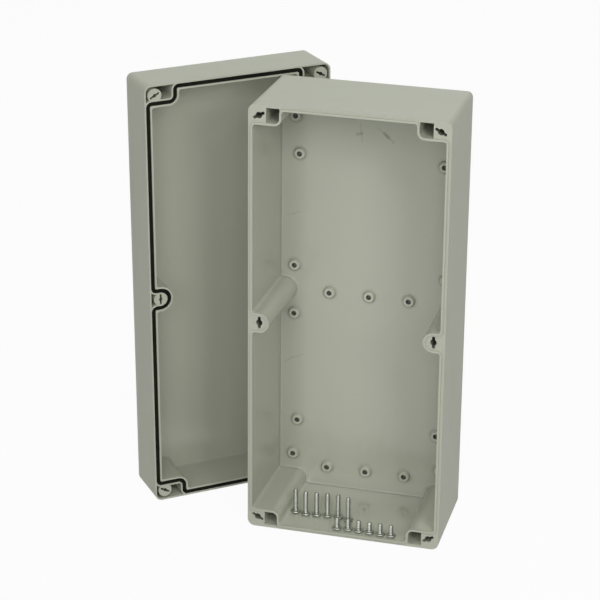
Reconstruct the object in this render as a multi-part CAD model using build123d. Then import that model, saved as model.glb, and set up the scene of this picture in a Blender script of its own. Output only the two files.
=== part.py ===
from build123d import *
import os
from math import cos, radians, tan

# Plastic project box with its cover taken off. Millimetres, +Z up.
# The base stands on one end with its open side towards -Y, and the cover stands behind it on its own end.
# The origin is the middle of the face that the base stands on.

# Both mouldings
box_width = 159.0
box_length = 360.0
base_depth = 87.0
cover_depth = 45.0
draft = 1.0                 # degrees, on every wall that leaves the mould
corner_radius = 6.0         # the four edges that run front to back
face_radius = 4.0           # the edge round the back of the base and the front of the cover
base_floor = 4.0
cover_face = 4.5
back_recess = 5.4           # depth of the recess in the back of the base
back_border = 8.0           # flat border round that recess, from the outer face
recess_corner = 3.0
floor_edge_radius = 1.2     # where the inside walls meet the floor
inside_corner_spare = 0.2   # by which the inside's upright corners are rounder than that, at the floor

# Line of the seal, which runs inside the screws
seal_inset = 3.0            # from the outer face to the middle of the seal
corner_step_side = 25.8     # how far the seal steps in from the side face at a corner
corner_step_end = 15.2      # and from the end face
wall_bend_radius = 3.0      # bends of the seal where it leaves a wall
column_bend_radius = 5.0    # and round the corner columns
bend_share = 0.8            # of the straight run beside it, the most that a bend takes
tongue_width = 1.7
tongue_height = 1.3
groove_width = 3.4
groove_depth = 4.0
inner_lip = 1.5             # wall between the groove and the inside of the cover

# Screw places, shared by the base and the cover
screw_from_side = 8.6
screw_from_end = 8.7
middle_screw_from_side = 9.3
key_angle = 29.0            # how the keyed holes at the corners lie, from the width of the box

# Keyed screw holes in the base
base_hole_diameter = 5.2
base_key_span = 10.2
base_key_width = 2.5
base_hole_depth = 24.0

# Posts in the cover
post_diameter = 11.4
cover_hole_diameter = 3.0
cover_key_span = 9.0
cover_key_width = 1.6
post_web = 6.0              # plastic left between the keyed slit and the head's counterbore
head_bore_diameter = 9.4

# Pockets at the base's corners, each with a hole for fixing the box to a wall
pocket_wall = 1.8           # between a pocket and the inside of the box
pocket_end_wall = 2.4
pocket_from_side = 14.3
fixing_hole_diameter = 4.6

# Bosses on the floor of the base
boss_diameter = 8.0
boss_foot_diameter = 11.0
boss_height = 2.6
boss_hole_diameter = 4.0
boss_hole_depth = 4.8
side_boss_spacing = 125.0       # across the box, the outer columns
side_boss_near = 42.2           # along the box, the pair beside the middle screws
side_boss_far = 296.4           # along the box, the pair beside the corners
quarter_boss_across = 118.0
quarter_boss_along = 233.4
row_boss_pitch = 33.0           # three in a row across the box
row_boss_along = 314.6          # from the lowest row to the highest, with one row in the middle

# Gasket bead
gasket_side_gap = 0.1
gasket_below_rim = 0.3
gasket_round = 0.8
bead_joint_height = 47.0        # where the ends of the bead meet, above the lower end of the cover
bead_joint_length = 4.0
bead_joint_proud = 0.3

# Where the cover stands
cover_left = 23.4               # middle of its lower rim edge, from the base's left side face
cover_forward = 19.0            # and in front of the base's back
cover_turn = 39.2               # degrees

# Screws, standing on their heads on the lower end wall
head_diameter = 8.0
head_height = 2.4
head_edge = 0.7
shank_diameter = 4.0
tip_chamfer = 0.6
slot_width = 1.2
slot_depth = 1.1
long_shank = 19.6
short_shank = 8.6
screws_per_row = 6
screw_pitch = 9.0
long_row_clearance = 3.55       # between the first head and the left corner column
long_row_back = 22.7            # from the rim
short_row_clearance = 9.35      # between the last head and the right corner column
short_row_back = 5.0
long_row_stagger = (0.9, -0.8, 0.0, 0.8, 0.7, -1.6)
short_row_stagger = (0.1, 0.8, 0.2, -0.1, -0.5, -0.4)

half_width = box_width / 2
half_length = box_length / 2
screw_x = half_width - screw_from_side
screw_y = half_length - screw_from_end
middle_screw_x = half_width - middle_screw_from_side
loop_radius = post_diameter / 2 + groove_width / 2
wall_bend = min(wall_bend_radius, bend_share * (middle_screw_from_side - seal_inset))
column_bend = min(column_bend_radius, bend_share * (corner_step_end - seal_inset - wall_bend))
end_wall = seal_inset + tongue_width / 2
column_face = half_width - corner_step_side - tongue_width / 2
long_row_left = long_row_clearance + head_diameter / 2 - column_face
short_row_left = column_face - short_row_clearance - head_diameter / 2 - (screws_per_row - 1) * screw_pitch
tolerance = 1e-4
corners = [(side, end) for side in (-1, 1) for end in (-1, 1)]


# Each moulding is drawn with its rim on the XY plane, its length along Y and its depth along +Z.

def rim_outline(margin=0.0):
    """Outline of the mouldings at the rim, moved in by a margin."""
    return RectangleRounded(box_width - 2 * margin, box_length - 2 * margin, corner_radius - margin)


def seal_area(margin=0.0):
    """Area inside the seal line less a margin: the rim's rectangle without its corners and screws."""
    across = half_width - seal_inset
    along = half_length - seal_inset
    step_x = corner_step_side - seal_inset
    step_y = corner_step_end - seal_inset
    reach = across - middle_screw_x
    area = Rectangle(2 * across, 2 * along)
    for side, end in corners:
        area -= Pos(side * (across - step_x / 2), end * (along - step_y / 2)) * Rectangle(step_x, step_y)
    for side in (-1, 1):
        area -= Pos(side * (middle_screw_x + reach / 2), 0) * Rectangle(reach, 2 * loop_radius)
        area -= Pos(side * middle_screw_x, 0) * Circle(loop_radius)
    wall_bends = [v for v in area.vertices()
                  if across - abs(v.X) < tolerance or along - abs(v.Y) < tolerance]
    area = fillet(wall_bends, wall_bend)
    column_bends = [v for v in area.vertices()
                    if abs(across - step_x - abs(v.X)) + abs(along - step_y - abs(v.Y)) < tolerance]
    return offset(fillet(column_bends, column_bend), -margin)


def seal_band(width):
    """Strip of the given width along the seal line."""
    return seal_area(-width / 2) - seal_area(width / 2)


def inner_outline(margin, corner):
    """Outline a margin inside the seal line, with every corner that points outwards rounded."""
    return offset(seal_area(margin + corner), corner)


def hollow(margin, depth):
    """Inside of a moulding, a margin inside the seal line, narrowing to its floor with the draft."""
    corner = floor_edge_radius + inside_corner_spare + depth * tan(radians(draft))
    inside = extrude(inner_outline(margin, corner), depth, taper=draft)
    return fillet(inside.faces().sort_by(Axis.Z)[-1].edges(), floor_edge_radius)


def keyed_hole(diameter, span, width, angle):
    """Round hole with a wing on each side."""
    return Circle(diameter / 2) + Rot(Z=angle) * SlotOverall(span, width)


def screw_places():
    """Places of the six cover screws, with the angle of each keyed hole."""
    places = [(side * screw_x, end * screw_y, -side * end * key_angle) for side, end in corners]
    return places + [(side * middle_screw_x, 0, 90) for side in (-1, 1)]


def moulded_block(depth):
    """Solid block of a moulding, with its draft and its rounded face edge."""
    block = extrude(rim_outline(), depth, taper=draft)
    return fillet(block.faces().sort_by(Axis.Z)[-1].edges(), face_radius)


def boss_places():
    """Places of the bosses on the base's floor."""
    places = [(side * side_boss_spacing / 2, end * along / 2)
              for side, end in corners for along in (side_boss_near, side_boss_far)]
    places += [(side * quarter_boss_across / 2, end * quarter_boss_along / 2) for side, end in corners]
    places += [(column * row_boss_pitch, row * row_boss_along / 2)
               for column in (-1, 0, 1) for row in (-1, 0, 1)]
    return places


def pocket_outline():
    """Outline of the pocket in the corner at +X +Y, rounded where the seal steps round it."""
    inner_x = half_width - corner_step_side - tongue_width / 2 + pocket_wall
    outer_x = half_width - pocket_from_side
    inner_y = half_length - corner_step_end - tongue_width / 2 + pocket_wall
    outer_y = half_length - pocket_end_wall
    middle = Pos((inner_x + outer_x) / 2, (inner_y + outer_y) / 2)
    outline = middle * Rectangle(outer_x - inner_x, outer_y - inner_y)
    bend = column_bend + tongue_width / 2 - pocket_wall
    return fillet(outline.vertices().sort_by(lambda v: v.X + v.Y)[0], bend)


def fixing_hole_place():
    """Middle of the pocket in the corner at +X +Y."""
    middle = pocket_outline().bounding_box().center()
    return middle.X, middle.Y


def make_base():
    """Deep half: corner columns, keyed screw holes, pockets, floor bosses and a recessed back."""
    floor_back = base_depth - back_recess
    floor_level = floor_back - base_floor
    base = moulded_block(base_depth)
    base -= hollow(tongue_width / 2, floor_level)
    recess = inner_outline(back_border - seal_inset, recess_corner)
    base -= extrude(Pos(0, 0, floor_back) * recess, back_recess, taper=-draft)
    base += extrude(seal_band(tongue_width), -tongue_height)
    boss = Pos(0, 0, -boss_height / 2) * Cone(boss_diameter / 2, boss_foot_diameter / 2, boss_height)
    boss_hole = Pos(0, 0, boss_hole_depth / 2 - boss_height) * Cylinder(boss_hole_diameter / 2, boss_hole_depth)
    for x, y in boss_places():
        base += Pos(x, y, floor_level) * boss
        base -= Pos(x, y, floor_level) * boss_hole
    pocket = extrude(pocket_outline(), base_depth - base_floor, taper=draft)
    fixing_x, fixing_y = fixing_hole_place()
    fixing = Pos(fixing_x, fixing_y, base_depth / 2) * Cylinder(fixing_hole_diameter / 2, 2 * base_depth)
    corner_cut = pocket + fixing
    across = corner_cut.mirror(Plane.YZ)
    for cut in (corner_cut, across, corner_cut.mirror(Plane.XZ), across.mirror(Plane.XZ)):
        base -= cut
    for x, y, angle in screw_places():
        hole = keyed_hole(base_hole_diameter, base_key_span, base_key_width, angle)
        base -= extrude(Pos(x, y) * hole, base_hole_depth)
    return base


def make_cover():
    """Shallow half of the box, with six screw posts outside the groove that holds the gasket."""
    face_level = cover_depth - cover_face
    cover = moulded_block(cover_depth)
    cover -= hollow(groove_width / 2 + inner_lip, face_level)
    lip = seal_inset - groove_width / 2
    for recess in (rim_outline(lip) - seal_area(-seal_inset)).faces():
        cover -= extrude(recess, face_level, taper=draft)
    bore_depth = cover_depth - post_web
    for x, y, angle in screw_places():
        cover += Pos(x, y, face_level / 2) * Cylinder(post_diameter / 2, face_level)
        cover -= Pos(x, y, post_web + bore_depth / 2) * Cylinder(head_bore_diameter / 2, bore_depth)
        slit = keyed_hole(cover_hole_diameter, cover_key_span, cover_key_width, angle)
        cover -= extrude(Pos(x, y) * slit, post_web)
    return cover - extrude(seal_band(groove_width), groove_depth)


def make_gasket():
    """Foam bead lying in the cover's groove, thicker where its two ends meet."""
    thickness = groove_depth - gasket_below_rim
    bead = extrude(seal_band(groove_width - 2 * gasket_side_gap), thickness)
    bead = Pos(0, 0, gasket_below_rim) * fillet(bead.faces().sort_by(Axis.Z)[0].edges(), gasket_round)
    joint_height = gasket_below_rim + gasket_round + bead_joint_proud
    joint = SlotOverall(bead_joint_length, groove_width - 2 * gasket_side_gap - gasket_round / 2)
    joint = extrude(Rot(Z=90) * joint, joint_height)
    # seen from inside, the joint is on the left, which is the moulding's own +X side
    joint_place = Pos(half_width - seal_inset, bead_joint_height - half_length, -bead_joint_proud)
    return bead + joint_place * joint


def make_screw(shank_length):
    """Pan-head screw with a slot, standing on its head."""
    head = Cylinder(head_diameter / 2, head_height, align=(Align.CENTER, Align.CENTER, Align.MIN))
    head = chamfer(head.edges().sort_by(Axis.Z)[0], head_edge)
    shank = Pos(0, 0, head_height) * Cylinder(
        shank_diameter / 2, shank_length, align=(Align.CENTER, Align.CENTER, Align.MIN))
    shank = chamfer(shank.edges().sort_by(Axis.Z)[-1], tip_chamfer)
    return head + shank - Pos(0, 0, slot_depth / 2) * Box(head_diameter, slot_width, slot_depth)


# Standing a moulding up: its length turns to +Z, its depth to +Y, and it leans back by the draft,
# which lays its lower end wall flat on the ground.
stand_up = Rot(X=-draft) * Plane(origin=(0, 0, half_length), x_dir=(-1, 0, 0), z_dir=(0, 1, 0)).location
rim_edge = Pos(0, -base_depth / 2, 0)

nodes = {}
nodes["base"] = rim_edge * stand_up * make_base()
cover_spot = Pos(-half_width - cover_left, base_depth - cover_forward, 0)
cover_place = rim_edge * cover_spot * Rot(Z=cover_turn) * stand_up
nodes["cover"] = cover_place * make_cover()
nodes["gasket"] = cover_place * make_gasket()

inner_floor = end_wall * cos(radians(draft))
for name, shank_length, left, back, stagger in (
        ("long_screw", long_shank, long_row_left, long_row_back, long_row_stagger),
        ("short_screw", short_shank, short_row_left, short_row_back, short_row_stagger)):
    for index in range(screws_per_row):
        place = rim_edge * Pos(left + index * screw_pitch, back + stagger[index], inner_floor)
        nodes[f"{name}_{index + 1}"] = place * make_screw(shank_length)

os.makedirs("parts", exist_ok=True)
for node_name, solid in nodes.items():
    export_step(solid, f"parts/{node_name}.step")
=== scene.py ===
import math

import bmesh
import bpy
import numpy as np
from bpy.props import FloatProperty, FloatVectorProperty, IntProperty, PointerProperty
from mathutils import Matrix, Vector


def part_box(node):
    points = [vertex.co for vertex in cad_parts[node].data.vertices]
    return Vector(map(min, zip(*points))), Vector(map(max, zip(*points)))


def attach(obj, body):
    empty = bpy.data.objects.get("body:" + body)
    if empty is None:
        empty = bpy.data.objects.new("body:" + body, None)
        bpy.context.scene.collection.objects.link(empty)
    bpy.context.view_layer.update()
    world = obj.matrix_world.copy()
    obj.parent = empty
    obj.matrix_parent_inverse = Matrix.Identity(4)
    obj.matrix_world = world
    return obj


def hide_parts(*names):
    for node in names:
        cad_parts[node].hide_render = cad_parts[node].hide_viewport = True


bl_info = {
    "name": "Plastic project box",
    "version": (1, 0, 0),
    "blender": (4, 5, 0),
    "location": "3D View > Sidebar > Project Box",
    "description": "A grey moulded box with its gasketed cover taken off, and its loose cover screws",
    "category": "Object",
}

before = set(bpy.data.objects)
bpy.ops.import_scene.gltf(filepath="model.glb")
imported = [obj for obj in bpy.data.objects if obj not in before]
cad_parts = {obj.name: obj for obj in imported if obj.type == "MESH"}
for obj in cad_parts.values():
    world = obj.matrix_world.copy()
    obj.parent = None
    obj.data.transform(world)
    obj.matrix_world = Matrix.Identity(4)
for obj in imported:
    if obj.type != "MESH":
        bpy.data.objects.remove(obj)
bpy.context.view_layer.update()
MM = 0.001

LONG_SCREWS = [f"long_screw_{i}" for i in range(1, 7)]
SHORT_SCREWS = [f"short_screw_{i}" for i in range(1, 7)]

# Where each moulding stands: the middle of its lower rim edge, its turn, its width and depth, the depth of
# its inner floor, and how much of the mould's polish it shows. Both lean back by the draft of their walls.
DRAFT = math.radians(1.0)
HEIGHT = 360 * MM
STANDS = {
    "base": {"rim": (0.0, -43.5 * MM), "turn": 0.0, "width": 159 * MM, "depth": 87 * MM,
             "floor": 77.6 * MM, "polish": 1.0},
    "cover": {"rim": (-102.9 * MM, 24.5 * MM), "turn": math.radians(39.2), "width": 159 * MM,
              "depth": 45 * MM, "floor": 40.5 * MM, "polish": 0.1},
}

# Places on a moulding, across and along from its middle in millimetres, one quarter of each pattern
BOSSES = ((62.5, 21.1), (62.5, 148.2), (59.0, 116.7), (33.0, 157.3), (0.0, 157.3), (33.0, 0.0), (0.0, 0.0))
SCREW_HOLES = ((70.9, 171.3), (70.2, 0.0))

# Rings of painted light and shade round a boss's axis, in millimetres: where each starts, is full, begins to
# fade and has gone, and its share of the colour
BOSS_PAINTED_RINGS = (
    # painted light on the top and the side, painted shade round the foot
    (2.1, 2.5, 3.6, 4.1, 0.1),  # the top
    (3.9, 4.3, 5.2, 6.0, 0.08),  # the side
    (4.6, 5.6, 5.6, 8.2, -0.12),  # the shade round the foot
)

# Painted light and shade on the mouldings, painted shade where the share is negative and painted light where
# it is positive: the two distances between which each one comes or goes, and its share of the colour
PAINTED_LIGHT_AND_SHADE = {
    "blind hole of a boss": (2.1 * MM, 2.4 * MM, -0.6),
    "keyed screw hole": (5.2 * MM, 5.4 * MM, -0.5),
    "floor beside the side walls": (4 * MM, 24 * MM, -0.12),
    "floor above the lower wall": (6 * MM, 14 * MM, -0.08),
    "front of the lower wall": (5 * MM, 45 * MM, 0.14),
    "upper part of the inner walls": (40 * MM, 60 * MM, 0.05),
    "outer part of the lower right column": (56 * MM, 64 * MM, 0.34),
    "inner edge of the lower right column": (46 * MM, 52 * MM, -0.08),
    "lower part of the cover": (30 * MM, 130 * MM, -0.07),
}

# Pairs of distances between which a mask goes from 0 to 1 or back
SKIN = (2.2 * MM, 2.6 * MM)  # from the outside of a moulding
RIM = (0.2 * MM, 0.6 * MM)  # depth from the rim
HOLE_MOUTH = (0.3 * MM, 2.0 * MM)  # depth in a screw hole
LOWER_WALL = (12 * MM, 16 * MM)  # height where the lower wall's polish and its painted light end
LOWER_COLUMN = (28 * MM, 40 * MM)  # height where the painted light and shade on the lower right column end
COVER_LEFT = (-40 * MM, 0.0)  # across the cover
DEEP = (8 * MM, 16 * MM)  # depth from which inner corners look softly rounded
CLEAR_OF_BOSS = (5.5 * MM, 8 * MM)  # from a boss's axis
WALL = 6 * MM  # from the outside of the base to its inner face at the floor

# Shares of the mould's polish
WALL_POLISH = 0.08
FLOOR_POLISH = 0.1
LOWER_WALL_POLISH = 0.92

# How strongly the plastic's own variation shows, and the painted shade and rougher finish where the walls
# meet the floor
CLOUD_TONE = 0.05
SPECKLE_TONE = 0.02
FOOT_PAINTED_SHADE = 0.18
SMUDGE_ROUGHNESS = 0.05
GRAIN_ROUGHNESS = 0.05
FOOT_ROUGHNESS = 0.3

# Faint dark strokes on the floor of the base, across and up in millimetres: start, end, width, strength
FLOOR_MARKS = (
    ((-9.9, 324.5), (-8.3, 309.5), 1.2, 0.11),
    ((-12.4, 315.6), (-8.8, 316.6), 2.2, 0.2),
    ((4.2, 322.2), (11.2, 316.7), 1.2, 0.12),
    ((9.6, 318.2), (12.8, 315.2), 2.1, 0.22),
    ((11.2, 316.7), (17.4, 311.2), 1.3, 0.17),
    ((-69.2, 242.0), (-64.6, 243.3), 0.8, 0.12),
    ((-64.6, 243.3), (-58.7, 246.0), 0.8, 0.12),
    ((-70.8, 112.3), (-64.4, 116.7), 0.8, 0.14),
    ((-64.4, 116.7), (-55.5, 120.5), 0.8, 0.14),
)


# ---- Shader and geometry node helpers

class Value:
    """An output socket that takes part in Python expressions; each operation adds its Math node."""

    def __init__(self, tree, socket):
        self.tree = tree
        self.socket = socket

    def _math(self, operation, *others):
        return self.tree.math(operation, self, *others)

    def __add__(self, other):
        return self._math("ADD", other)

    def __radd__(self, other):
        return self.tree.math("ADD", other, self)

    def __sub__(self, other):
        return self._math("SUBTRACT", other)

    def __rsub__(self, other):
        return self.tree.math("SUBTRACT", other, self)

    def __mul__(self, other):
        return self._math("MULTIPLY", other)

    def __rmul__(self, other):
        return self.tree.math("MULTIPLY", other, self)

    def __truediv__(self, other):
        return self._math("DIVIDE", other)

    def __rtruediv__(self, other):
        return self.tree.math("DIVIDE", other, self)

    def __abs__(self):
        return self._math("ABSOLUTE")


class Nodes:
    """A node tree, shader or geometry, built by one method that adds any node."""

    def __init__(self, tree):
        self.tree = tree

    def node(self, kind, settings=None, inputs=None, output=0):
        """Adds a node, sets its settings, then fills or links its inputs. Returns the named output."""
        made = self.tree.nodes.new(kind)
        for name, value in (settings or {}).items():
            setattr(made, name, value)
        for key, value in (inputs or {}).items():
            self.feed(made.inputs[key], value)
        if not made.outputs:
            return made
        return Value(self, made.outputs[output])

    def feed(self, socket, value):
        """Links a value, or each of a list of values, to a socket, or sets the socket to a plain one."""
        if isinstance(value, Value):
            self.tree.links.new(value.socket, socket)
        elif isinstance(value, (list, tuple)) and value and isinstance(value[0], Value):
            for one in value:
                self.tree.links.new(one.socket, socket)
        else:
            socket.default_value = value

    def math(self, operation, *values):
        return self.node("ShaderNodeMath", {"operation": operation}, dict(enumerate(values)))

    def vector_math(self, operation, *values, output=0):
        return self.node("ShaderNodeVectorMath", {"operation": operation}, dict(enumerate(values)), output)

    def clamp01(self, value):
        return self.node("ShaderNodeClamp", None, {"Value": value})

    def step(self, value, low, high):
        """0 below low and 1 above high, smooth between."""
        return self.node("ShaderNodeMapRange", {"interpolation_type": "SMOOTHSTEP"},
                         {"Value": value, "From Min": low, "From Max": high})

    def fade(self, value, low, high):
        """1 below low and 0 above high, smooth between."""
        return 1.0 - self.step(value, low, high)

    def band(self, value, start, full, fading, gone):
        """1 between full and fading, 0 before start and after gone, smooth between."""
        return self.step(value, start, full) * self.fade(value, fading, gone)

    def split(self, vector):
        made = self.tree.nodes.new("ShaderNodeSeparateXYZ")
        self.feed(made.inputs[0], vector)
        return [Value(self, out) for out in made.outputs]

    def join(self, x, y, z):
        return self.node("ShaderNodeCombineXYZ", None, {"X": x, "Y": y, "Z": z})

    def mix(self, factor, first, second):
        """Mix of two colours."""
        return self.node("ShaderNodeMix", {"data_type": "RGBA"}, {"Factor": factor, 6: first, 7: second}, 2)

    def noise(self, vector, size, detail=2.0, roughness=0.5, distortion=0.0):
        """Noise from 0 to 1 with features of about the given size in metres."""
        return self.node("ShaderNodeTexNoise", None, {
            "Vector": vector, "Scale": 1.0 / size, "Detail": detail, "Roughness": roughness,
            "Distortion": distortion})


def new_material(name):
    """An empty material and its node tree."""
    material = bpy.data.materials.new(name)
    material.use_nodes = True
    material.node_tree.nodes.clear()
    return material, Nodes(material.node_tree)


def finish_material(nodes, shader):
    """Links the shader to the material's output."""
    nodes.node("ShaderNodeOutputMaterial", None, {"Surface": shader})


def paint(obj, material):
    """Gives an object one material."""
    obj.data.materials.clear()
    obj.data.materials.append(material)


# ---- The user's sizes and colours

class HousingSettings(bpy.types.PropertyGroup):
    colour: FloatVectorProperty(
        name="Plastic", description="Colour of the moulded plastic", subtype="COLOR", size=3,
        default=(0.43, 0.445, 0.364), min=0.0, max=1.0)
    outside_roughness: FloatProperty(
        name="Outside roughness", description="Roughness of the outer walls", subtype="FACTOR",
        default=0.55, min=0.0, max=1.0)
    inside_roughness: FloatProperty(
        name="Inside roughness", description="Roughness of the inner walls, which are smoother",
        subtype="FACTOR", default=0.2, min=0.0, max=1.0)
    inside_polish: FloatProperty(
        name="Inside polish",
        description="How much the polished mould shows as a clear gloss on the inner walls",
        subtype="FACTOR", default=1.0, min=0.0, max=1.0)
    grain_size: FloatProperty(
        name="Grain", description="Size of the fine mould grain", subtype="DISTANCE", unit="LENGTH",
        default=0.7 * MM, min=0.1 * MM, max=5 * MM)
    edge_rounding: FloatProperty(
        name="Edge rounding", description="Radius by which sharp moulded edges look rounded",
        subtype="DISTANCE", unit="LENGTH", default=0.3 * MM, min=0.0, max=2 * MM)
    corner_rounding: FloatProperty(
        name="Inner corners", description="Radius by which the inner corners and columns look rounded",
        subtype="DISTANCE", unit="LENGTH", default=2.5 * MM, min=0.0, max=15 * MM)


class GasketSettings(bpy.types.PropertyGroup):
    colour: FloatVectorProperty(
        name="Foam", description="Colour of the gasket", subtype="COLOR", size=3,
        default=(0.006, 0.0065, 0.004), min=0.0, max=1.0)
    pore_size: FloatProperty(
        name="Pores", description="Size of the pores in the foam bead", subtype="DISTANCE", unit="LENGTH",
        default=0.35 * MM, min=0.05 * MM, max=3 * MM)


class ScrewSettings(bpy.types.PropertyGroup):
    colour: FloatVectorProperty(
        name="Plating", description="Colour of the screws' plating", subtype="COLOR", size=3,
        default=(0.4, 0.413, 0.372), min=0.0, max=1.0)
    thread_pitch: FloatProperty(
        name="Thread pitch", description="Distance from one turn of the thread to the next",
        subtype="DISTANCE", unit="LENGTH", default=1.5 * MM, min=0.5 * MM, max=4 * MM)
    thread_depth: FloatProperty(
        name="Thread depth", description="Height of the thread's ridge above the core",
        subtype="DISTANCE", unit="LENGTH", default=0.45 * MM, min=0.1 * MM, max=1 * MM)
    segments: IntProperty(
        name="Segments", description="Faces round a screw", default=28, min=12, max=64)


class StageSettings(bpy.types.PropertyGroup):
    floor_colour: FloatVectorProperty(
        name="Floor", description="Colour of the floor", subtype="COLOR", size=3,
        default=(0.7, 0.7, 0.7), min=0.0, max=1.0)
    sky_strength: FloatProperty(
        name="Surroundings", description="Strength of the even light from all round", default=0.18,
        min=0.0, max=3.0)
    light_power: FloatProperty(
        name="Soft lights", description="Power of the soft lights together", unit="POWER", default=58.6,
        min=0.0, max=500.0)
    lens: FloatProperty(
        name="Lens", description="Focal length on a 36 mm frame", unit="CAMERA", default=144.97,
        min=20.0, max=400.0)


# ---- Housing

def moulding_coordinates(nodes, stand):
    """Across, depth from the rim and height of a point of a moulding, from its Object coordinates."""
    place = nodes.node("ShaderNodeMapping", {"vector_type": "TEXTURE"}, {
        "Vector": nodes.node("ShaderNodeTexCoord", output="Object"),
        "Location": (stand["rim"][0], stand["rim"][1], 0.0), "Rotation": (0.0, 0.0, stand["turn"])})
    across, back, height = nodes.split(place)
    depth = back - height * math.tan(DRAFT)
    return place, across, depth, height


def inside_mask(nodes, stand, across, depth, height):
    """1 on the inner walls, 0 on the outer ones and on the rim."""
    narrowing = depth * math.tan(DRAFT)
    side = nodes.step(stand["width"] / 2 - narrowing - abs(across), *SKIN)
    back = nodes.step(stand["depth"] - depth, *SKIN)
    front = nodes.step(depth, *RIM)
    foot = nodes.step(height, *SKIN)
    head = nodes.step(HEIGHT - 2 * narrowing - height, *SKIN)
    return side * back * front * foot * head


def floor_mask(nodes, stand, depth):
    """1 on the inner floor and its bosses, 0 on the walls."""
    return nodes.step(depth, stand["floor"] - 2.7 * MM, stand["floor"] - 2.4 * MM)


def nearest(nodes, places, across, depth, height):
    """Distance of a point from the nearest axis of a pattern that is the same in all four quarters."""
    along = height + depth * math.tan(DRAFT) - HEIGHT / 2
    folded = nodes.join(abs(across), abs(along), 0.0)
    least = None
    for place in places:
        one = nodes.vector_math("DISTANCE", folded, (place[0] * MM, place[1] * MM, 0.0), output="Value")
        least = one if least is None else nodes.math("MINIMUM", least, one)
    return least


def rising(nodes, name, value):
    """The painted light and shade of the given name, which comes as the value grows."""
    low, high, strength = PAINTED_LIGHT_AND_SHADE[name]
    return nodes.step(value, low, high) * strength


def fading(nodes, name, value):
    """The painted light and shade of the given name, which goes as the value grows."""
    low, high, strength = PAINTED_LIGHT_AND_SHADE[name]
    return nodes.fade(value, low, high) * strength


def wall_foot(nodes, stand, depth, inside):
    """1 where the walls meet the floor, 0 on the floor and further up them; it places painted shade there."""
    floor = stand["floor"]
    return nodes.band(depth, floor - 3.0 * MM, floor - 0.9 * MM, floor - 0.2 * MM, floor) * inside


def boss_painted_shading(nodes, stand, across, depth, height):
    """Painted light on the top and side of a boss, painted shade round its foot and in its blind hole."""
    away = nearest(nodes, BOSSES, across, depth, height)
    near_floor = nodes.step(depth, stand["floor"] - 3.0 * MM, stand["floor"] - 2.8 * MM)
    total = fading(nodes, "blind hole of a boss", away)
    for *ring, strength in BOSS_PAINTED_RINGS:
        total = total + nodes.band(away, *(radius * MM for radius in ring)) * strength
    return 1.0 + total * near_floor


def screw_hole_painted_shade(nodes, across, depth, height):
    """Painted shade inside the keyed screw holes."""
    away = nearest(nodes, SCREW_HOLES, across, depth, height)
    return 1.0 + nodes.step(depth, *HOLE_MOUTH) * fading(nodes, "keyed screw hole", away)


def polished(nodes, stand, depth, height, inside):
    """Share of the mould's polish: most on the lower wall, less on the floor, little on the other walls."""
    on_floor = floor_mask(nodes, stand, depth) * FLOOR_POLISH
    low = nodes.fade(height, *LOWER_WALL) * LOWER_WALL_POLISH
    return (WALL_POLISH + nodes.math("MAXIMUM", on_floor, low)) * inside * stand["polish"]


def base_painted_shading(nodes, stand, across, depth, height, inside):
    """Painted shade on the base's floor near its edges and at the lower right column's inner edge, painted
    light on the front of the lower wall, the upper inner walls and the column's outer part.
    """
    on_floor = floor_mask(nodes, stand, depth) * inside
    on_walls = inside - on_floor
    gap = stand["width"] / 2 - WALL - abs(across)
    edges = (fading(nodes, "floor beside the side walls", gap)
             + fading(nodes, "floor above the lower wall", height)) * on_floor
    front = nodes.fade(height, *LOWER_WALL) * fading(nodes, "front of the lower wall", depth) * inside
    side = rising(nodes, "upper part of the inner walls", height) * on_walls
    column = (rising(nodes, "outer part of the lower right column", across)
              + rising(nodes, "inner edge of the lower right column", across)
              ) * nodes.fade(height, *LOWER_COLUMN) * on_walls
    return 1.0 + edges + front + side + column


def cover_painted_shade(nodes, across, height, inside):
    """Painted shade on the cover's inside, darker at the lower left."""
    return 1.0 + fading(nodes, "lower part of the cover", height) * nodes.fade(across, *COVER_LEFT) * inside


def straight_stroke(nodes, across, height, start, end, width):
    """1 along a straight stroke between two points, given across and up the moulding, 0 beside it."""
    reach = (end[0] - start[0], end[1] - start[1])
    length = math.hypot(*reach)
    along = nodes.clamp01(((across - start[0]) * reach[0] + (height - start[1]) * reach[1]) / length ** 2)
    off_across = across - start[0] - along * reach[0]
    off_height = height - start[1] - along * reach[1]
    off = nodes.math("SQRT", off_across * off_across + off_height * off_height)
    return nodes.fade(off, 0.2 * width, width)


def dark_floor_strokes(nodes, across, depth, height):
    """Strength of the faint dark strokes on the floor of the base."""
    total = 0.0
    for start, end, width, strength in FLOOR_MARKS:
        line = straight_stroke(nodes, across, height, [v * MM for v in start], [v * MM for v in end], width * MM)
        total = line * strength + total
    return nodes.clamp01(total) * nodes.band(depth, 70 * MM, 74 * MM, 79 * MM, 81 * MM)


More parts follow.
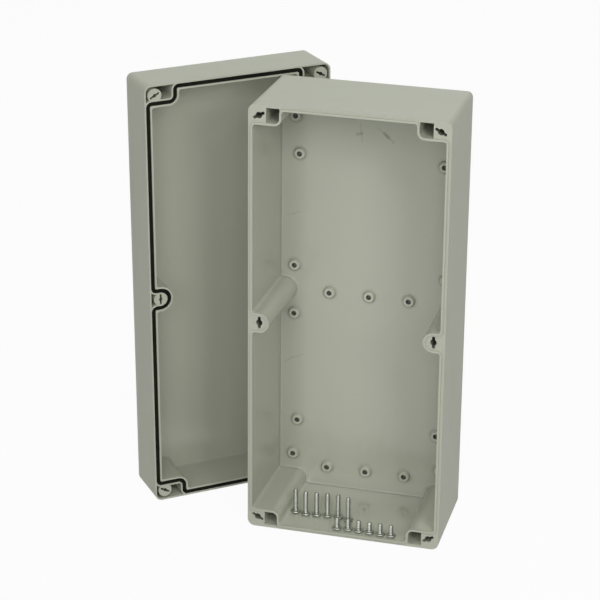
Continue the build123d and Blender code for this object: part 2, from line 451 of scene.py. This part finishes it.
def moulded_plastic(name, stand, settings, deep_half=False):
    """Semi-gloss pigmented plastic: satin outside, smoother inside, with flow clouds, mould grain, and
    painted light and shade inside.
    """
    material, nodes = new_material(name)
    place, across, depth, height = moulding_coordinates(nodes, stand)
    inside = inside_mask(nodes, stand, across, depth, height)

    stretched = nodes.vector_math("MULTIPLY", place, (1.0, 1.0, 0.35))
    clouds = nodes.noise(stretched, 60 * MM, detail=3.0, roughness=0.55, distortion=0.6) - 0.5
    speckle = nodes.noise(place, 1.6 * MM, roughness=0.6) - 0.5
    tone = 1.0 + clouds * CLOUD_TONE + speckle * SPECKLE_TONE
    foot = wall_foot(nodes, stand, depth, inside)
    # Painted shade where the walls meet the floor and inside the keyed screw holes
    tone = tone * (1.0 - foot * FOOT_PAINTED_SHADE) * screw_hole_painted_shade(nodes, across, depth, height)
    # The base gets painted light and shade on its floor, walls and bosses, and dark strokes on its floor; the
    # cover gets painted shade low at its left
    if deep_half:
        tone = tone * base_painted_shading(nodes, stand, across, depth, height, inside)
        tone = tone * boss_painted_shading(nodes, stand, across, depth, height)
        tone = tone * (1.0 - dark_floor_strokes(nodes, across, depth, height))
    else:
        tone = tone * cover_painted_shade(nodes, across, height, inside)
    shade = nodes.vector_math("SCALE", tuple(settings.colour))
    nodes.feed(shade.socket.node.inputs["Scale"], tone)

    grain = nodes.noise(place, settings.grain_size, roughness=0.55)
    smudged = nodes.noise(stretched, 28 * MM, detail=4.0, roughness=0.6, distortion=1.2)
    roughness = settings.outside_roughness + inside * (settings.inside_roughness - settings.outside_roughness)
    roughness = roughness + nodes.step(smudged, 0.45, 0.75) * SMUDGE_ROUGHNESS + foot * FOOT_ROUGHNESS
    roughness = roughness + (grain - 0.5) * (1.0 - inside * 0.8) * GRAIN_ROUGHNESS

    crisp = nodes.node("ShaderNodeBevel", {"samples": 4}, {"Radius": settings.edge_rounding})
    soft = nodes.node("ShaderNodeBevel", {"samples": 8}, {"Radius": settings.corner_rounding})
    deep = nodes.step(depth, *DEEP) * inside
    if deep_half:
        deep = deep * nodes.step(nearest(nodes, BOSSES, across, depth, height), *CLEAR_OF_BOSS)
    rounded = nodes.node("ShaderNodeMix", {"data_type": "VECTOR"}, {"Factor": deep, 4: crisp, 5: soft}, 1)
    bump = nodes.node("ShaderNodeBump", None, {
        "Strength": 0.22, "Distance": 0.05 * MM, "Height": grain * (1.0 - inside * 0.9), "Normal": rounded})
    shader = nodes.node("ShaderNodeBsdfPrincipled", None, {
        "Base Color": shade, "Roughness": roughness, "IOR": 1.5, "Normal": bump,
        "Coat Weight": polished(nodes, stand, depth, height, inside) * (1.0 - foot) * settings.inside_polish,
        "Coat Roughness": 0.05, "Coat IOR": 1.8})
    finish_material(nodes, shader)
    return material


class PROJECTBOX_OT_housing(bpy.types.Operator):
    """Finish the moulded base and cover in grey plastic"""
    bl_idname = "projectbox.housing"
    bl_label = "Housing"

    def execute(self, context):
        settings = context.scene.projectbox_housing
        for piece in ("base", "cover"):
            material = moulded_plastic(f"{piece}_plastic", STANDS[piece], settings, deep_half=piece == "base")
            paint(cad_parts[piece], material)
        return {"FINISHED"}


# ---- Gasket

def gasket_foam(settings):
    """Dull black foam with fine pores."""
    material, nodes = new_material("gasket_foam")
    place = nodes.node("ShaderNodeTexCoord", output="Object")
    pores = nodes.node("ShaderNodeTexVoronoi", {"feature": "F1"}, {
        "Vector": place, "Scale": 1.0 / settings.pore_size}, "Distance")
    worn = nodes.noise(place, 9 * MM)
    shade = nodes.mix(nodes.step(worn, 0.35, 0.8), (*settings.colour, 1.0),
                      tuple(c * 1.9 for c in settings.colour) + (1.0,))
    bump = nodes.node("ShaderNodeBump", None, {
        "Strength": 0.5, "Distance": 0.12 * MM, "Height": nodes.step(pores, 0.0, 0.6)})
    shader = nodes.node("ShaderNodeBsdfPrincipled", None, {
        "Base Color": shade, "Roughness": 0.8 + worn * 0.15, "IOR": 1.2, "Normal": bump})
    finish_material(nodes, shader)
    return material


class PROJECTBOX_OT_gasket(bpy.types.Operator):
    """Finish the foam bead in the cover's groove"""
    bl_idname = "projectbox.gasket"
    bl_label = "Gasket"

    def execute(self, context):
        paint(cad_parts["gasket"], gasket_foam(context.scene.projectbox_gasket))
        return {"FINISHED"}


# ---- Screws

SHANK_RADIUS = 2.0 * MM
SUNK = 0.3 * MM  # how far the shank starts inside the head
ROWS_PER_TURN = 12.0
RIDGE = (0.42, 0.92)  # how far from the root to the crest the thread's flank lies
RUN_OUT = (0.3 * MM, 2.2 * MM)  # distances from the tip over which the thread begins
RUN_IN = (0.8 * MM, 2.4 * MM)  # distances from the head over which it ends
BLUNT_TIP = 1.1 * MM

# The head's height as a share of its width, and its slot's width and depth as shares of its radius and height
HEAD_HEIGHT = 0.3
SLOT_WIDTH = 0.3
SLOT_DEPTH = 0.45

# Outline of the head: the flat under its dome, the dome's height and the rounding of its rim, and the washer
# face with the fillet to the shank, as shares of its radius and height
HEAD_FLAT = 0.3
HEAD_DOME = 0.76
HEAD_RIM = 0.15
HEAD_FILLET = ((0.62, 1.0), (0.5, 1.06), (0.42, 1.2), (0.34, 1.4), (0.0, 1.4))


def bright_plating(settings):
    """Bright zinc plating, slightly uneven."""
    material, nodes = new_material("screw_plating")
    place = nodes.node("ShaderNodeTexCoord", output="Object")
    uneven = nodes.noise(place, 2.2 * MM, detail=3.0, roughness=0.6)
    fine = nodes.noise(place, 0.3 * MM)
    shade = nodes.mix(nodes.step(uneven, 0.35, 0.75), (*settings.colour, 1.0),
                      tuple(c * 0.82 for c in settings.colour) + (1.0,))
    bump = nodes.node("ShaderNodeBump", None, {"Strength": 0.08, "Distance": 0.05 * MM, "Height": fine})
    shader = nodes.node("ShaderNodeBsdfPrincipled", None, {
        "Base Color": shade, "Metallic": 1.0, "Roughness": 0.3 + uneven * 0.1, "Normal": bump})
    finish_material(nodes, shader)
    return material


def head_mesh(radius, height, segments):
    """Round head standing on its dome, with the washer face up and a fillet to the shank."""
    outline = [(0.0, 0.0), (HEAD_FLAT, 0.0)]
    outline += [(HEAD_FLAT + (1 - HEAD_FLAT) * math.sin(a), HEAD_DOME * (1 - math.cos(a)))
                for a in np.linspace(0.25, 1.0, 7) * math.pi / 2]
    outline += [(1 - HEAD_RIM + HEAD_RIM * math.cos(a), HEAD_DOME + (1 - HEAD_DOME) * math.sin(a))
                for a in np.linspace(0.2, 1.0, 5) * math.pi / 2]
    outline += HEAD_FILLET
    mesh = bpy.data.meshes.new("screw_head")
    work = bmesh.new()
    rings = [[work.verts.new((radius * r * math.cos(a), radius * r * math.sin(a), height * z))
              for a in np.arange(segments) * 2 * math.pi / segments] for r, z in outline]
    for low, high in zip(rings, rings[1:]):
        for i in range(segments):
            j = (i + 1) % segments
            work.faces.new((low[i], low[j], high[j], high[i]))
    bmesh.ops.remove_doubles(work, verts=work.verts, dist=1e-7)
    bmesh.ops.recalc_face_normals(work, faces=work.faces)
    work.to_mesh(mesh)
    work.free()
    return mesh


def slotted(head, width, depth, reach):
    """The head's mesh with a driver slot cut across the side that it stands on."""
    mesh = bpy.data.meshes.new("slot")
    work = bmesh.new()
    bmesh.ops.create_cube(work, size=1.0, matrix=Matrix.Diagonal((2.2 * reach, width, 2 * depth, 1.0)))
    work.to_mesh(mesh)
    work.free()
    body = bpy.data.objects.new("screw_head", head)
    slot = bpy.data.objects.new("slot", mesh)
    for obj in (body, slot):
        bpy.context.scene.collection.objects.link(obj)
    cut = body.modifiers.new("slot", "BOOLEAN")
    cut.operation = "DIFFERENCE"
    cut.object = slot
    result = bpy.data.meshes.new_from_object(body.evaluated_get(bpy.context.evaluated_depsgraph_get()))
    for obj in (body, slot):
        bpy.data.objects.remove(obj)
    work = bmesh.new()
    work.from_mesh(result)
    for face in work.faces:
        face.smooth = True
    for edge in work.edges:
        edge.smooth = edge.calc_face_angle(0.0) < math.radians(35)
    work.to_mesh(result)
    work.free()
    return result


def screw_tree(material):
    """Geometry nodes that stand a threaded screw on every point, long or short by its attribute."""
    tree = bpy.data.node_groups.new("threaded_screws", "GeometryNodeTree")
    sockets = tree.interface
    sockets.new_socket("Geometry", in_out="INPUT", socket_type="NodeSocketGeometry")
    named = {}
    for name, kind in (("Head", "NodeSocketObject"), ("Core radius", "NodeSocketFloat"),
                       ("Thread depth", "NodeSocketFloat"), ("Thread pitch", "NodeSocketFloat"),
                       ("Head height", "NodeSocketFloat"), ("Long shank", "NodeSocketFloat"),
                       ("Short shank", "NodeSocketFloat"), ("Segments", "NodeSocketInt")):
        named[name] = sockets.new_socket(name, in_out="INPUT", socket_type=kind).identifier
    sockets.new_socket("Geometry", in_out="OUTPUT", socket_type="NodeSocketGeometry")
    nodes = Nodes(tree)
    entry = tree.nodes.new("NodeGroupInput")

    def given(name):
        return Value(nodes, entry.outputs[name])

    def shank(length):
        """Closed threaded shank of the given length, from inside the head to a blunt tip."""
        rows = nodes.math("CEIL", length / given("Thread pitch") * ROWS_PER_TURN)
        sheet = nodes.node("GeometryNodeMeshGrid", None, {
            "Size X": 1.0, "Size Y": 1.0, "Vertices X": given("Segments") + 1.0, "Vertices Y": rows})
        across, along, _ = nodes.split(nodes.node("GeometryNodeInputPosition"))
        turn = (across + 0.5) * 2 * math.pi
        height = (along + 0.5) * length
        phase = nodes.math("FRACT", height / given("Thread pitch") + (across + 0.5))
        ridge = nodes.step(1.0 - abs(phase * 2.0 - 1.0), *RIDGE)
        from_tip = length - height
        ends = nodes.step(from_tip, *RUN_OUT) * nodes.step(height, *RUN_IN)
        radius = given("Core radius") + given("Thread depth") * ridge * ends
        blunt = nodes.math("SQRT", nodes.clamp01(from_tip / BLUNT_TIP)) * nodes.step(height, 0.0, 0.05 * MM)
        radius = radius * blunt
        bent = nodes.node("GeometryNodeSetPosition", None, {
            "Geometry": sheet,
            "Position": nodes.join(nodes.math("COSINE", turn) * radius, nodes.math("SINE", turn) * radius,
                                   height + given("Head height") - SUNK)})
        closed = nodes.node("GeometryNodeMergeByDistance", None, {"Geometry": bent, "Distance": 1e-6})
        return nodes.node("GeometryNodeSetShadeSmooth", None, {"Geometry": closed})

    head = nodes.node("GeometryNodeObjectInfo", None, {"Object": given("Head")}, "Geometry")
    is_long = nodes.node("GeometryNodeInputNamedAttribute", {"data_type": "FLOAT"}, {"Name": "long"},
                         "Attribute")
    turns = nodes.node("FunctionNodeRandomValue", {"data_type": "FLOAT"}, {
        "Min": 0.0, "Max": 2 * math.pi, "Seed": 7}, 1)
    kinds = []
    for chosen, length in ((is_long, given("Long shank")), (1.0 - is_long, given("Short shank"))):
        whole = nodes.node("GeometryNodeJoinGeometry", None, {"Geometry": [head, shank(length + SUNK)]})
        kinds.append(nodes.node("GeometryNodeInstanceOnPoints", None, {
            "Points": given("Geometry"), "Selection": chosen, "Instance": whole,
            "Rotation": nodes.join(0.0, 0.0, turns)}))
    plain = nodes.node("GeometryNodeRealizeInstances", None, {
        "Geometry": nodes.node("GeometryNodeJoinGeometry", None, {"Geometry": kinds})})
    made = nodes.node("GeometryNodeSetMaterial", None, {"Geometry": plain, "Material": material})
    leave = tree.nodes.new("NodeGroupOutput")
    tree.links.new(made.socket, leave.inputs[0])
    return tree, named


def screw_points():
    """One vertex for each screw, on the wall that it stands on, marked as long or short."""
    places = []
    for name in LONG_SCREWS + SHORT_SCREWS:
        low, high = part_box(name)
        places.append(((low.x + high.x) / 2, (low.y + high.y) / 2, low.z))
    mesh = bpy.data.meshes.new("cover_screws")
    mesh.from_pydata(places, [], [])
    marks = mesh.attributes.new("long", "FLOAT", "POINT")
    for i in range(len(places)):
        marks.data[i].value = 1.0 if i < len(LONG_SCREWS) else 0.0
    obj = bpy.data.objects.new("cover_screws", mesh)
    bpy.context.scene.collection.objects.link(obj)
    return obj


class PROJECTBOX_OT_screws(bpy.types.Operator):
    """Stand the loose cover screws in the base, with their threads"""
    bl_idname = "projectbox.screws"
    bl_label = "Cover screws"

    def execute(self, context):
        settings = context.scene.projectbox_screws
        long_low, long_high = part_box(LONG_SCREWS[0])
        short_low, short_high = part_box(SHORT_SCREWS[0])
        head_radius = (long_high.x - long_low.x) / 2
        head_height = HEAD_HEIGHT * head_radius * 2
        screws = screw_points()
        head = bpy.data.objects.new("screw_head", slotted(
            head_mesh(head_radius, head_height, 2 * settings.segments),
            SLOT_WIDTH * head_radius, SLOT_DEPTH * head_height, head_radius))
        tree, named = screw_tree(bright_plating(settings))
        modifier = screws.modifiers.new("screws", "NODES")
        modifier.node_group = tree
        for name, value in (
                ("Head", head), ("Core radius", SHANK_RADIUS - settings.thread_depth),
                ("Thread depth", settings.thread_depth), ("Thread pitch", settings.thread_pitch),
                ("Head height", head_height), ("Long shank", long_high.z - long_low.z - head_height),
                ("Short shank", short_high.z - short_low.z - head_height), ("Segments", settings.segments)):
            modifier[named[name]] = value
        depsgraph = context.evaluated_depsgraph_get()
        plain = bpy.data.meshes.new_from_object(screws.evaluated_get(depsgraph))
        screws.modifiers.remove(modifier)
        screws.data = plain
        bpy.data.objects.remove(head)
        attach(screws, "root")
        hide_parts(*LONG_SCREWS, *SHORT_SCREWS)
        return {"FINISHED"}


# ---- Stage

WHITE = (1.0, 1.0, 1.0, 1.0)
FLOOR_REACH = 8.0
LIGHTS_AIM = (-0.04, 0.02, 0.17)
CAMERA_PLACE = (0.4181, -1.7118, 0.9499)
CAMERA_ANGLES = {"turn": 15.23, "tilt": 23.314, "roll": -0.26}

# Where each soft light hangs, its diameter and its share of their power
SOFT_LIGHTS = {
    "front_light": ((0.3, -2.2, 1.1), 1.4, 0.2738),
    "high_light": ((1.0, -1.6, 1.65), 0.3, 0.0785),
    "right_light": ((1.4, -1.6, 1.2), 0.7, 0.2006),
    "left_light": ((-1.0, -1.6, 1.5), 1.4, 0.1108),
    "back_light": ((0.0, 1.4, 1.9), 1.4, 0.2231),
    "top_light": ((0.3, -1.0, 2.2), 1.4, 0.1132),
}


def seen_directly(nodes):
    """1 for rays from the camera, from a reflection and through glass, 0 for the light itself."""
    path = nodes.tree.nodes.new("ShaderNodeLightPath")
    camera_ray, glossy_ray, clear_ray = (
        Value(nodes, path.outputs[f"Is {kind} Ray"]) for kind in ("Camera", "Glossy", "Transmission"))
    return nodes.math("MAXIMUM", nodes.math("MAXIMUM", camera_ray, glossy_ray), clear_ray)


def pale_floor(settings):
    """Matt pale floor that looks white and keeps a little of the object's shadow."""
    material, nodes = new_material("pale_floor")
    matt = nodes.node("ShaderNodeBsdfDiffuse", None, {"Color": (*settings.floor_colour, 1.0)})
    white = nodes.node("ShaderNodeEmission", None, {"Color": WHITE, "Strength": 1.0})
    mixed = nodes.node("ShaderNodeMixShader", None, {0: seen_directly(nodes) * 0.95, 1: matt, 2: white})
    finish_material(nodes, mixed)
    return material


def even_sky(context, settings):
    """Even light from all round, seen as white."""
    world = bpy.data.worlds.new("even_light")
    context.scene.world = world
    world.use_nodes = True
    world.node_tree.nodes.clear()
    nodes = Nodes(world.node_tree)
    sky = nodes.node("ShaderNodeBackground", None, {"Color": WHITE, "Strength": settings.sky_strength})
    white = nodes.node("ShaderNodeBackground", None, {"Color": WHITE, "Strength": 1.0})
    mixed = nodes.node("ShaderNodeMixShader", None, {0: seen_directly(nodes), 1: sky, 2: white})
    nodes.node("ShaderNodeOutputWorld", None, {"Surface": mixed})


def soft_light(context, name, place, size, power):
    """Round lamp of the given diameter that faces the middle of the object."""
    lamp = bpy.data.lights.new(name, "AREA")
    lamp.shape = "DISK"
    lamp.size = size
    lamp.energy = power
    obj = bpy.data.objects.new(name, lamp)
    obj.location = place
    obj.rotation_euler = (Vector(LIGHTS_AIM) - Vector(place)).to_track_quat("-Z", "Y").to_euler()
    context.scene.collection.objects.link(obj)


def camera(context, lens, place, turn, tilt, roll):
    """Camera with a heading (positive to the left), a downward tilt and a roll, in degrees."""
    data = bpy.data.cameras.new("camera")
    data.sensor_width = 36.0
    data.lens = lens
    data.clip_start = 0.05
    data.clip_end = 50.0
    obj = bpy.data.objects.new("camera", data)
    look = (Matrix.Rotation(math.radians(turn), 3, "Z") @ Matrix.Rotation(math.radians(-tilt), 3, "X")
            @ Matrix.Rotation(math.radians(roll), 3, "Y"))
    obj.matrix_world = Matrix.Translation(place) @ (look @ Matrix.Rotation(math.radians(90), 3, "X")).to_4x4()
    context.scene.collection.objects.link(obj)
    context.scene.camera = obj


class PROJECTBOX_OT_stage(bpy.types.Operator):
    """Set up the pale floor, the soft light and the camera"""
    bl_idname = "projectbox.stage"
    bl_label = "Stage"

    def execute(self, context):
        settings = context.scene.projectbox_stage
        mesh = bpy.data.meshes.new("floor")
        corners = [(x * FLOOR_REACH, y * FLOOR_REACH, 0.0) for x, y in ((-1, -1), (1, -1), (1, 1), (-1, 1))]
        mesh.from_pydata(corners, [], [(0, 1, 2, 3)])
        floor = bpy.data.objects.new("floor", mesh)
        context.scene.collection.objects.link(floor)
        paint(floor, pale_floor(settings))
        even_sky(context, settings)
        for name, (place, size, share) in SOFT_LIGHTS.items():
            soft_light(context, name, place, size, share * settings.light_power)
        context.scene.view_settings.view_transform = "Standard"
        camera(context, settings.lens, CAMERA_PLACE, **CAMERA_ANGLES)
        return {"FINISHED"}


# ---- Panel and registration

class PROJECTBOX_PT_panel(bpy.types.Panel):
    bl_label = "Project box"
    bl_idname = "PROJECTBOX_PT_panel"
    bl_space_type = "VIEW_3D"
    bl_region_type = "UI"
    bl_category = "Project Box"

    def draw(self, context):
        for operator, group in STEPS:
            box = self.layout.box()
            settings = getattr(context.scene, group)
            for name in settings.__annotations__:
                box.prop(settings, name)
            box.operator(operator.bl_idname)


STEPS = (
    (PROJECTBOX_OT_housing, "projectbox_housing"),
    (PROJECTBOX_OT_gasket, "projectbox_gasket"),
    (PROJECTBOX_OT_screws, "projectbox_screws"),
    (PROJECTBOX_OT_stage, "projectbox_stage"),
)
SETTINGS = {
    "projectbox_housing": HousingSettings,
    "projectbox_gasket": GasketSettings,
    "projectbox_screws": ScrewSettings,
    "projectbox_stage": StageSettings,
}
CLASSES = (*SETTINGS.values(), *(operator for operator, _ in STEPS), PROJECTBOX_PT_panel)


def register():
    for cls in CLASSES:
        bpy.utils.register_class(cls)
    for name, cls in SETTINGS.items():
        setattr(bpy.types.Scene, name, PointerProperty(type=cls))


def unregister():
    for name in SETTINGS:
        delattr(bpy.types.Scene, name)
    for cls in reversed(CLASSES):
        bpy.utils.unregister_class(cls)


def main():
    register()
    bpy.ops.projectbox.housing()
    bpy.ops.projectbox.gasket()
    bpy.ops.projectbox.screws()
    bpy.ops.projectbox.stage()


if __name__ == "__main__":
    main()
